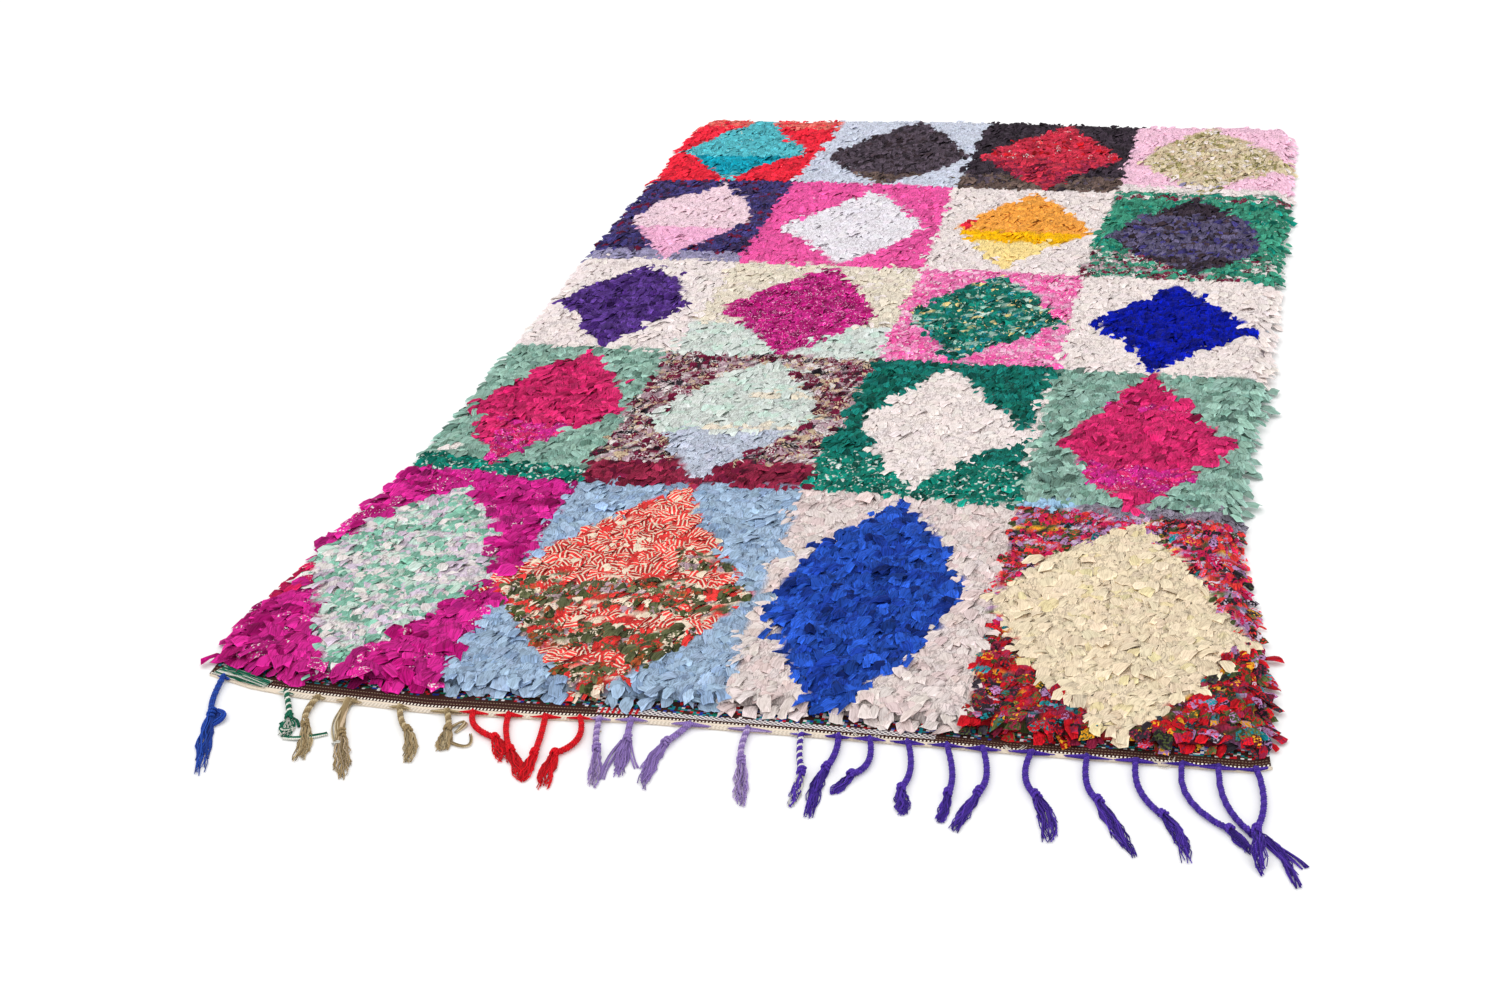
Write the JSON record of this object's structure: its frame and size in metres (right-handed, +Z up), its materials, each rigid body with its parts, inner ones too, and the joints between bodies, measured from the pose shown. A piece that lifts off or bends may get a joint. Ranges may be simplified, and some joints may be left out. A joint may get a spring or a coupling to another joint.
{
  "type": "boucherouite rug",
  "caption": "Long rectangular rag-pile rug with lozenge panels in mixed colours, a flat woven end band and knotted yarn tassels along it.",
  "frame": {"origin": "the middle of the pile field on the flat underside, on the floor", "axes": "+Z up out of the pile, +Y along the length from the tasselled end to the plain end, +X across to the right"},
  "size_m": [1.5912, 3.1326, 0.034],
  "materials": {
    "rag_pile": "knotted cotton and jersey rag strips, matte, many colours",
    "blue_yarn": "plied yarn, soft",
    "green_yarn": "plied yarn, green and white, soft",
    "beige_yarn": "plied undyed yarn, soft",
    "red_yarn": "plied yarn, soft",
    "lilac_yarn": "plied yarn, soft",
    "purple_yarn": "plied yarn, soft"
  },
  "bodies": {
    "root": {"rug": "rag_pile", "fringe_blue": "blue_yarn", "fringe_green": "green_yarn", "fringe_beige": "beige_yarn", "fringe_red": "red_yarn", "fringe_lilac": "lilac_yarn", "fringe_purple": "purple_yarn"}
  },
  "joints": []
}
